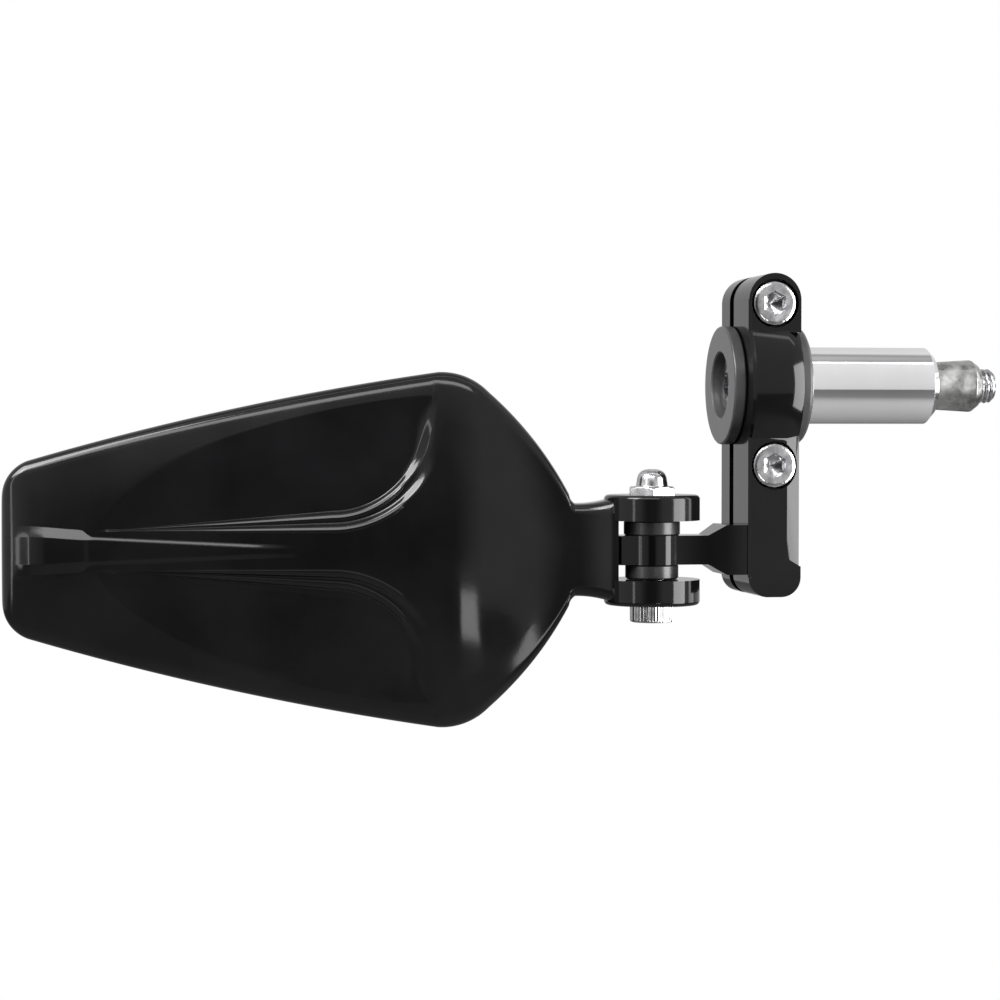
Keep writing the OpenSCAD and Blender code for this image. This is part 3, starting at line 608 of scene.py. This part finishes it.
def clamp_outline():
    half = (CLAMP_X1 - CLAMP_X0) / 2
    foot = FOOT_R - CLAMP_FOOT
    return (arc((CLAMP_XM, CLAMP_TOP - half), half, 0, 180, 40)
            + arc((CLAMP_X0 + FOOT_R, foot), FOOT_R, 180, 270, 12)
            + arc((CLAMP_X1 - FOOT_R, foot), FOOT_R, 270, 360, 12))


def bulge(r, left, right, side_y):
    """The swelling of one clamp half round the spool, with a bevel at each end, cut off at the split."""
    profile = [(r - left[1], CLAMP_X0), (r, CLAMP_X0 + left[0])]
    profile += [(r, CLAMP_X1 - right[0]), (r - right[1], CLAMP_X1)]
    piece = solid_lathe("bulge", profile, sides=160)
    pick(piece)
    bpy.ops.object.mode_set(mode="EDIT")
    bpy.ops.mesh.select_all(action="SELECT")
    bpy.ops.mesh.bisect(plane_co=Vector((0, side_y * SPLIT, 0)) * MM, plane_no=(0, -side_y, 0),
                        use_fill=True, clear_outer=True)
    bpy.ops.object.mode_set(mode="OBJECT")
    return piece


def bevel_cut(x, side_x, wide, deep, z0, z1, slant=0):
    """A three-cornered bar that takes a bevel off the front face's edge, with its lower end slanted."""
    inner, outer = x - 1.5 * side_x * wide, x + side_x * wide / 2
    ahead, behind = -FRONT_DEPTH - deep / 2, -FRONT_DEPTH + 1.5 * deep
    triangle = [(inner, ahead), (outer, behind), (outer, ahead)]
    piece = plate("bevel_cut", triangle, z0, z1, axis="Z")
    for v in piece.data.vertices:
        if v.co.z < (z0 + 0.01) * MM:
            v.co.z += slant * (x * MM - v.co.x)
    return piece


def tongue():
    """The boss, its flare and the flat tongue, with the eye for the bushes and the lug behind it."""
    boss_x = CLAMP_X0 - BOSS_LEN
    flare_x = boss_x - FLARE_LEN
    inside = CLAMP_X0 + 1
    y0, y1 = -FRONT_DEPTH + 1, -SPLIT
    tab0, tab1 = PIVOT.y - TONGUE_W / 2, PIVOT.y + TONGUE_W / 2
    high, low, z = BOSS_H / 2, TONGUE_T / 2, PIVOT.z
    seen_from_front = [(inside, z - high), (boss_x, z - high), (flare_x, z - low), (PIVOT.x, z - low),
                       (PIVOT.x, z + low), (flare_x, z + low), (boss_x, z + high), (inside, z + high)]
    seen_from_above = [(inside, y0), (boss_x, y0), (flare_x, tab0), (PIVOT.x, tab0),
                       (PIVOT.x, tab1), (flare_x, tab1), (boss_x, y1), (inside, y1)]
    piece = plate("tongue", seen_from_front, y0, y1)
    combine(piece, plate("tongue_top", seen_from_above, z - high - 1, z + high + 1, axis="Z"), "INTERSECT")
    weld(piece, rod("eye", EYE_R, -low, low, "Z", PIVOT))
    half_turn = math.degrees(math.asin(TONGUE_W / 2 / LUG_REACH))
    lug = arc((PIVOT.x, PIVOT.y), LUG_REACH, 180 + half_turn, 180 - half_turn, 24)
    weld(piece, plate("lug", [(PIVOT.x, tab1), (PIVOT.x, tab0)] + lug, z - low, z + low, axis="Z"))
    return piece


THIN, WIDE = (THIN_BEVEL, THIN_BEVEL), (WIDE_BEVEL, WIDE_BEVEL_DEPTH)


def clamp_front():
    """The half that is cast with the tongue, with its bulge, bevels, bores and counterbores."""
    piece = plate("clamp_front_cast", clamp_outline(), -FRONT_DEPTH, -SPLIT)
    bulge_z = math.sqrt(FRONT_RING_R ** 2 - FRONT_DEPTH ** 2)
    inside_z = 0.8 * bulge_z
    cut(piece, bevel_cut(CLAMP_X1, 1, *WIDE, WIDE_BEVEL_END - CLAMP_FOOT - WIDE_BEVEL_DEPTH, bulge_z - 0.4,
                         WIDE_BEVEL_SLANT))
    cut(piece, bevel_cut(CLAMP_X0, -1, *THIN, FOOT_R - CLAMP_FOOT, -inside_z))
    cut(piece, bevel_cut(CLAMP_X0, -1, *THIN, inside_z, CLAMP_TOP - 6))
    weld(piece, bulge(FRONT_RING_R, THIN, WIDE, -1))
    weld(piece, tongue())
    cut(piece, rod("bore", SEAT_R + HOLE_GAP, CLAMP_X0 - 1, CLAMP_X1 + 1, sides=128))
    cut(piece, rod("eye_bore", BUSH_R + THREAD_GAP, -TONGUE_T, TONGUE_T, "Z", PIVOT, 64))
    for z in (-SCREW_Z, SCREW_Z):
        at = (CLAMP_XM, 0, z)
        cut(piece, rod("hole", SCREW_D / 2 + HOLE_GAP, -FRONT_DEPTH, 1, "Y", at, 64))
        cut(piece, rod("counterbore", HEAD_D / 2 + 0.5, -2 * FRONT_DEPTH, SCREW_SEAT_Y, "Y", at))
    soften(piece, 0.4)
    return piece


def clamp_rear():
    """The half that the screws draw up, with its bulge and its tapped holes."""
    piece = plate("clamp_rear_cast", clamp_outline(), SPLIT, REAR_DEPTH)
    weld(piece, bulge(REAR_RING_R, THIN, THIN, 1))
    cut(piece, rod("bore", SEAT_R + HOLE_GAP, CLAMP_X0 - 1, CLAMP_X1 + 1, sides=128))
    for z in (-SCREW_Z, SCREW_Z):
        cut(piece, rod("hole", SCREW_D / 2 + THREAD_GAP, -1, REAR_DEPTH + 1, "Y", (CLAMP_XM, 0, z), 64))
    soften(piece, 0.5)
    return piece


# The turned pieces

def end_spool():
    """Outer disc, groove for the clamp and stop flange, with a bore for the bolt's head and a spigot."""
    edge, rim, r, bolt_r = 0.5, 1.1, SPOOL_R, BOLT_R + HOLE_GAP
    profile = [(SPOOL_BORE, SPOOL_X0 + 0.3), (SPOOL_BORE + 0.3, SPOOL_X0)]
    profile += arc((r - edge, SPOOL_X0 + edge), edge, -90, 0) + arc((r - edge, GROOVE_X0 - edge), edge, 0, 90)
    profile += [(SEAT_R, GROOVE_X0), (SEAT_R, GROOVE_X1)]
    profile += arc((r - edge, GROOVE_X1 + edge), edge, -90, 0) + arc((r - rim, -rim), rim, 0, 90)
    profile += [(SLEEVE_R + 0.05, 0), (SLEEVE_R + 0.05, -NEST), (SPIGOT_R, -NEST), (SPIGOT_R, SPIGOT_LEN),
                (bolt_r, SPIGOT_LEN), (bolt_r, WEB_X), (SPOOL_BORE, WEB_X)]
    return lathe("turned_spool", profile, sides=160)


def wedge_r(x):
    """Radius of the wedge's cone at a place along the axis."""
    return WEDGE_R - (WEDGE_X1 - WEDGE_NOSE - x) * WEDGE_SLOPE


def insert_sleeve():
    """The chromed sleeve: a coned bore for the wedge in all its travel, a saw cut and a keyway."""
    mouth, bore, socket, end = WEDGE_X0 - 4, BOLT_R + 0.5, SPIGOT_R + 0.05, SLEEVE_LEN + 5
    coned = [(wedge_r(x + WEDGE_TRAVEL) + 0.15, x) for x in (SLEEVE_LEN, mouth)]
    profile = [(socket, -NEST), (SLEEVE_R - 0.3, -NEST), (SLEEVE_R - 0.3, 0), (SLEEVE_R, 0),
               (SLEEVE_R, SLEEVE_LEN - CHAMFER), (SLEEVE_R - CHAMFER, SLEEVE_LEN)] + coned
    profile += [(bore, mouth), (bore, SPIGOT_LEN + 0.1), (socket, SPIGOT_LEN + 0.1)]
    piece = lathe("chromed_sleeve", profile, sides=160)
    cut(piece, block("saw_cut", SAW_CUT_X, end, 0, 12, -SAW_CUT_HALF, SAW_CUT_HALF))
    keyway_floor = -wedge_r(SLEEVE_LEN) - KEYWAY_DEPTH
    cut(piece, block("keyway", mouth + 0.4, end, keyway_floor, -2, -KEYWAY_HALF, KEYWAY_HALF, -KEY_TURN))
    soften(piece, 0.2)
    return piece


def expander_wedge():
    """The cone nut with its short nose and the key that keeps it from turning."""
    end, bore = WEDGE_X1 - WEDGE_NOSE, BOLT_R + HOLE_GAP
    r = wedge_r(end)
    profile = [(bore, WEDGE_X0), (wedge_r(WEDGE_X0), WEDGE_X0), (r - 0.02, end - 0.35), (r - 0.1, end),
               (r - 1.2, WEDGE_X1), (bore + 0.35, WEDGE_X1), (bore, WEDGE_X1 - 0.35)]
    piece = lathe("cone_nut", profile, sides=128)
    key_top = -wedge_r(SLEEVE_LEN) - KEY_HEIGHT
    weld(piece, block("key", WEDGE_X0 + 2, SLEEVE_LEN - 0.1, key_top, -bore - 0.3, -KEY_HALF, KEY_HALF,
                      -KEY_TURN))
    soften(piece, 0.15, 2)
    return piece


def washer():
    a, b, inner, outer, edge = BOLT_SEAT_X, WEB_X, BOLT_R + 0.2, 7.2, 0.15
    return lathe("flat_washer", [(inner, a), (outer - edge, a), (outer, a + edge), (outer, b - edge),
                                 (outer - edge, b), (inner, b)])


def bush(name, r, sign):
    """A top-hat bush: its collar fills the gap beside the eye."""
    low, high, edge, bore = TONGUE_T / 2, EAR_IN - 0.1, 0.35, SCREW_D / 2 + HOLE_GAP
    profile = [(bore, 0.1), (BUSH_R, 0.1), (BUSH_R, low), (r - edge, low), (r, low + edge), (r, high - edge),
               (r - edge, high), (bore, high)]
    return lathe(name, [(q, sign * h) for q, h in profile], axis="Z", at=PIVOT)


# Surface finishes, as a node group and materials

def group(name, inputs, outputs):
    tree = bpy.data.node_groups.new(name, "ShaderNodeTree")
    for n, value in inputs:
        socket = tree.interface.new_socket(name=n, in_out="INPUT", socket_type="NodeSocketFloat")
        socket.default_value = value
    for n in outputs:
        tree.interface.new_socket(name=n, in_out="OUTPUT", socket_type="NodeSocketFloat")
    return tree, tree.nodes.new("NodeGroupInput"), tree.nodes.new("NodeGroupOutput")


def make_speckle():
    """Fine grain and broad mottling from the piece's own coordinates."""
    inputs = (("Grain Scale", 900.0), ("Cloud Scale", 40.0))
    tree, given, result = group("speckle", inputs, ("Grain", "Cloud"))
    co = tree.nodes.new("ShaderNodeTexCoord")
    for out, detail in (("Grain", 2.0), ("Cloud", 5.0)):
        noise = tree.nodes.new("ShaderNodeTexNoise")
        noise.inputs["Detail"].default_value = detail
        tree.links.new(co.outputs["Object"], noise.inputs["Vector"])
        tree.links.new(given.outputs[out + " Scale"], noise.inputs["Scale"])
        tree.links.new(noise.outputs["Fac"], result.inputs[out])
    return tree


SPECKLE = make_speckle()
GRAIN_HEIGHT = 0.2 * MM


def finish(name, dark, light, metallic, rough, grain=900.0, cloud=40.0, bump=0.02, specular=0.5,
           rough_spread=0.06, by="Cloud"):
    """A finish whose colour, roughness and relief follow the speckle."""
    mat = bpy.data.materials.new(name)
    mat.use_nodes = True
    nodes, links = mat.node_tree.nodes, mat.node_tree.links
    bsdf = nodes["Principled BSDF"]
    bsdf.inputs["Metallic"].default_value = metallic
    bsdf.inputs["Specular IOR Level"].default_value = specular
    speckle = nodes.new("ShaderNodeGroup")
    speckle.node_tree = SPECKLE
    speckle.inputs["Grain Scale"].default_value = grain
    speckle.inputs["Cloud Scale"].default_value = cloud
    ramp = nodes.new("ShaderNodeValToRGB")
    for stop, place, colour in zip(ramp.color_ramp.elements, (0.35, 0.65), (dark, light)):
        stop.position = place
        stop.color = (*colour, 1)
    links.new(speckle.outputs[by], ramp.inputs["Fac"])
    links.new(ramp.outputs["Color"], bsdf.inputs["Base Color"])
    span = nodes.new("ShaderNodeMapRange")
    limits = (0.3, 0.7, max(0.01, rough - rough_spread), rough + rough_spread)
    for socket, value in zip(("From Min", "From Max", "To Min", "To Max"), limits):
        span.inputs[socket].default_value = value
    links.new(speckle.outputs["Cloud"], span.inputs["Value"])
    links.new(span.outputs["Result"], bsdf.inputs["Roughness"])
    relief = nodes.new("ShaderNodeBump")
    relief.inputs["Strength"].default_value = bump
    relief.inputs["Distance"].default_value = GRAIN_HEIGHT
    links.new(speckle.outputs["Grain"], relief.inputs["Height"])
    links.new(relief.outputs["Normal"], bsdf.inputs["Normal"])
    return mat


# Slot of the record, and finish
# The head and the clamp carry one gloss black paint in two copies: the head's copy has a lighter base colour
# as painted light, the clamp's copy a darker base colour as painted shade.
CLAMP_BLACK_SHADED = ("gloss_black", finish(
    "black_paint_shaded_copy", (0.001, 0.001, 0.0011), (0.0022, 0.0022, 0.0024), 0, 0.1, specular=0.3,
    rough_spread=0.03))
HEAD_BLACK_LIT = ("gloss_black", finish(
    "black_paint_lit_copy", (0.0025, 0.0025, 0.0027), (0.005, 0.005, 0.0054), 0, 0.11, specular=0.3,
    rough_spread=0.03))
ANODISED = ("black_anodised", finish(
    "black_anodised", (0.035, 0.035, 0.036), (0.055, 0.055, 0.057), 0, 0.34, bump=0.1))
CHROME = ("chrome", finish(
    "chrome_plate", (0.80, 0.80, 0.81), (0.88, 0.88, 0.89), 1, 0.06, bump=0.01, rough_spread=0.03))
ZINC = ("zinc_steel", finish(
    "bright_zinc", (0.34, 0.34, 0.35), (0.62, 0.62, 0.63), 1, 0.17, cloud=420.0, bump=0.08,
    rough_spread=0.07))
DULL_ZINC = ("dull_zinc", finish(
    "dull_zinc", (0.14, 0.14, 0.135), (0.5, 0.5, 0.49), 1, 0.3, cloud=260.0, bump=0.2, rough_spread=0.1))
POLYMER = ("black_polymer", finish(
    "black_polymer", (0.012, 0.012, 0.012), (0.022, 0.022, 0.022), 0, 0.3, bump=0.1))
FOAM = ("foam", finish(
    "foam", (0.02, 0.02, 0.02), (0.05, 0.05, 0.05), 0, 0.9, grain=1500.0, bump=0.5, by="Grain"))
SILVER = ("silvered_glass", finish(
    "silvered_glass", (0.86, 0.88, 0.89), (0.88, 0.90, 0.91), 1, 0.012, bump=0.0, rough_spread=0.002))


def dress(piece, mat):
    piece.data.materials.clear()
    piece.data.materials.append(mat)


# Making the pieces

def on_head(piece):
    """Moves a piece drawn round the pivot, with -X away from it, to the head's place."""
    settle(piece)
    piece.data.transform(Matrix.Translation(PIVOT * MM) @ Matrix.Rotation(-math.radians(YAW), 4, "Z"))
    return piece


# Piece, its name, its body, its slot and finish, the node it stands for, and the angle of smooth shading
PIECES = (
    (on_head(housing()), "sculpted_housing", "head", HEAD_BLACK_LIT, "mirror_housing", 50),
    (on_head(glass()), "bevelled_glass", "head", SILVER, "mirror_glass", 30),
    (pivot_bolt("knurled_pivot_bolt"), "knurled_pivot_bolt", "head", ZINC, "pivot_bolt", 30),
    (on_head(dome_nut()), "plated_dome_nut", "head", ZINC, "dome_nut", 30),
    (bush("upper_collar_bush", UPPER_COLLAR_R, 1),
     "upper_collar_bush", "bracket", POLYMER, "upper_bush", 30),
    (bush("lower_collar_bush", LOWER_COLLAR_R, -1),
     "lower_collar_bush", "bracket", POLYMER, "lower_bush", 30),
    (clamp_front(), "clamp_front_cast", "bracket", CLAMP_BLACK_SHADED, "clamp_front", 32),
    (clamp_rear(), "clamp_rear_cast", "bracket", CLAMP_BLACK_SHADED, "clamp_rear", 32),
    (clamp_screw("upper_screw", SCREW_Z), "upper_knurled_screw", "bracket", ZINC, "upper_clamp_screw", 30),
    (clamp_screw("lower_screw", -SCREW_Z), "lower_knurled_screw", "bracket", ZINC, "lower_clamp_screw", 30),
    (end_spool(), "turned_spool", "insert", ANODISED, "end_spool", 30),
    (insert_sleeve(), "chromed_sleeve", "insert", CHROME, "insert_sleeve", 30),
    (washer(), "flat_washer", "insert", ZINC, "bolt_washer", 30),
    (expander_wedge(), "cone_nut", "wedge", DULL_ZINC, "expander_wedge", 30),
    (expander_bolt(), "bolt_with_thread", "bolt", ZINC, "expander_bolt", 50),
)
for piece, name, body, (slot, mat), node, angle in PIECES:
    piece.name = name
    smooth(piece, angle)
    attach(piece, body)
    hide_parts(node)
    dress(piece, mat)

for node, (slot, mat) in (("backing_plate", POLYMER), ("adhesive_pad", FOAM)):
    dress(frame["nodes"][node], mat)


# The camera, in degrees, metres and mm

CAMERA_TURN, CAMERA_RISE = -10.0, 1.6
DISTANCE, LENS, SENSOR_W = 0.59, 93.5, 36
AIM_LEFT, AIM_Z = 34.5, -26.2


def direction(azimuth, elevation):
    """A unit vector, with azimuth 0 towards -Y and growing towards +X."""
    a, e = math.radians(azimuth), math.radians(elevation)
    return Vector((math.sin(a) * math.cos(e), -math.cos(a) * math.cos(e), math.sin(e)))


def make_camera():
    turn = math.radians(CAMERA_TURN)
    aim = (Vector((PIVOT.x, PIVOT.y, AIM_Z)) - Vector((math.cos(turn), math.sin(turn), 0)) * AIM_LEFT) * MM
    back = direction(CAMERA_TURN, CAMERA_RISE)
    data = bpy.data.cameras.new("photo_camera")
    data.lens = LENS
    data.sensor_width = SENSOR_W
    cam = bpy.data.objects.new("photo_camera", data)
    bpy.context.collection.objects.link(cam)
    cam.location = aim + back * DISTANCE
    cam.rotation_mode = "QUATERNION"
    cam.rotation_quaternion = (-back).to_track_quat("-Z", "Y")
    bpy.context.scene.camera = cam
    return aim


centre = make_camera()


# The room: a white surround, a floor that the camera sees white and that shows a painted grey shade in
# reflections, and soft boxes

# Azimuth, elevation, distance, width, height and radiance
SOFT_BOXES = {
    "left_strip": (-55, 12, 0.9, 0.08, 0.9, 4.5),
    "corner_spot": (-62, 40, 0.9, 0.42, 0.42, 18.0),
    "right_front_box": (57, 0, 0.9, 0.5, 0.8, 11.0),
    "low_front_box": (5, -14.5, 0.9, 0.16, 0.13, 6.0),
    "high_front_strip": (-24, 38, 0.9, 0.9, 0.19, 7.5),
    "right_box": (95, 10, 0.9, 0.3, 0.8, 3.0),
    "top_strip": (-10, 77, 0.8, 1.6, 0.06, 3.0),
}


def softbox(name, azimuth, elevation, distance, wide, high, radiance):
    """A rectangular light that faces the camera's aim."""
    data = bpy.data.lights.new(name, "AREA")
    data.shape = "RECTANGLE"
    data.size, data.size_y = wide, high
    data.energy = radiance * math.pi * wide * high
    lamp = bpy.data.objects.new(name, data)
    bpy.context.collection.objects.link(lamp)
    away = direction(azimuth, elevation)
    lamp.location = centre + away * distance
    lamp.rotation_mode = "QUATERNION"
    lamp.rotation_quaternion = away.to_track_quat("Z", "Y")


for name, values in SOFT_BOXES.items():
    softbox(name, *values)

# Greys of the room, from behind (-1) to the dark side near the camera (1), and from below (-1) to above (1)
DARK_SIDE = direction(-14, 0)
AROUND = ((-1, 0.75), (0.3, 0.9), (0.88, 0.8), (0.95, 0.3), (0.985, 0.05))
UPWARDS = ((-1, 0.2), (-0.74, 0.22), (-0.62, 0.75), (-0.1, 0.9), (0.1, 0.95), (0.88, 1.0), (0.93, 0.4),
           (0.96, 0.65), (1, 0.65))


def tone(nodes, links, source, steps):
    """A ramp of greys over a value from -1 to 1."""
    span = nodes.new("ShaderNodeMapRange")
    span.inputs["From Min"].default_value = -1
    links.new(source, span.inputs["Value"])
    ramp = nodes.new("ShaderNodeValToRGB")
    stops = ramp.color_ramp.elements
    while len(stops) < len(steps):
        stops.new(0.5)
    for stop, (place, grey) in zip(stops, steps):
        stop.position = (place + 1) / 2
        stop.color = (grey, grey, grey, 1)
    links.new(span.outputs["Result"], ramp.inputs["Fac"])
    return ramp.outputs["Color"]


def seen_directly(nodes, links, plain, white, out):
    """Shows the camera a white shader in place of the plain one."""
    path = nodes.new("ShaderNodeLightPath")
    swap = nodes.new("ShaderNodeMixShader")
    links.new(path.outputs["Is Camera Ray"], swap.inputs["Fac"])
    links.new(plain, swap.inputs[1])
    links.new(white, swap.inputs[2])
    links.new(swap.outputs["Shader"], out)


def make_world():
    world = bpy.data.worlds.new("white_studio")
    bpy.context.scene.world = world
    world.use_nodes = True
    nodes, links = world.node_tree.nodes, world.node_tree.links
    room = nodes["Background"]
    co = nodes.new("ShaderNodeTexCoord")
    dot = nodes.new("ShaderNodeVectorMath")
    dot.operation = "DOT_PRODUCT"
    dot.inputs[1].default_value = DARK_SIDE
    links.new(co.outputs["Generated"], dot.inputs[0])
    split = nodes.new("ShaderNodeSeparateXYZ")
    links.new(co.outputs["Generated"], split.inputs["Vector"])
    both = nodes.new("ShaderNodeVectorMath")
    both.operation = "MULTIPLY"
    links.new(tone(nodes, links, dot.outputs["Value"], AROUND), both.inputs[0])
    links.new(tone(nodes, links, split.outputs["Z"], UPWARDS), both.inputs[1])
    links.new(both.outputs["Vector"], room.inputs["Color"])
    white = nodes.new("ShaderNodeBackground")
    white.inputs["Color"].default_value = (1, 1, 1, 1)
    seen_directly(nodes, links, room.outputs["Background"], white.outputs["Background"],
                  nodes["World Output"].inputs["Surface"])


def make_floor():
    fresh()
    bpy.ops.mesh.primitive_plane_add(size=6, location=(0, 0, -0.65))
    floor = bpy.context.object
    floor.name = "white_floor_painted_shade"
    mat = bpy.data.materials.new("white_floor_painted_shade")
    mat.use_nodes = True
    nodes, links = mat.node_tree.nodes, mat.node_tree.links
    bsdf = nodes["Principled BSDF"]
    # Grey base colour, seen only in reflections: painted shade of the floor under the object. The camera sees
    # the floor white.
    bsdf.inputs["Base Color"].default_value = (0.2, 0.2, 0.2, 1)
    bsdf.inputs["Roughness"].default_value = 0.9
    glow = nodes.new("ShaderNodeEmission")
    glow.inputs["Color"].default_value = (1, 1, 1, 1)
    seen_directly(nodes, links, bsdf.outputs["BSDF"], glow.outputs["Emission"],
                  nodes["Material Output"].inputs["Surface"])
    dress(floor, mat)


make_world()
make_floor()
bpy.context.scene.view_settings.view_transform = "Standard"
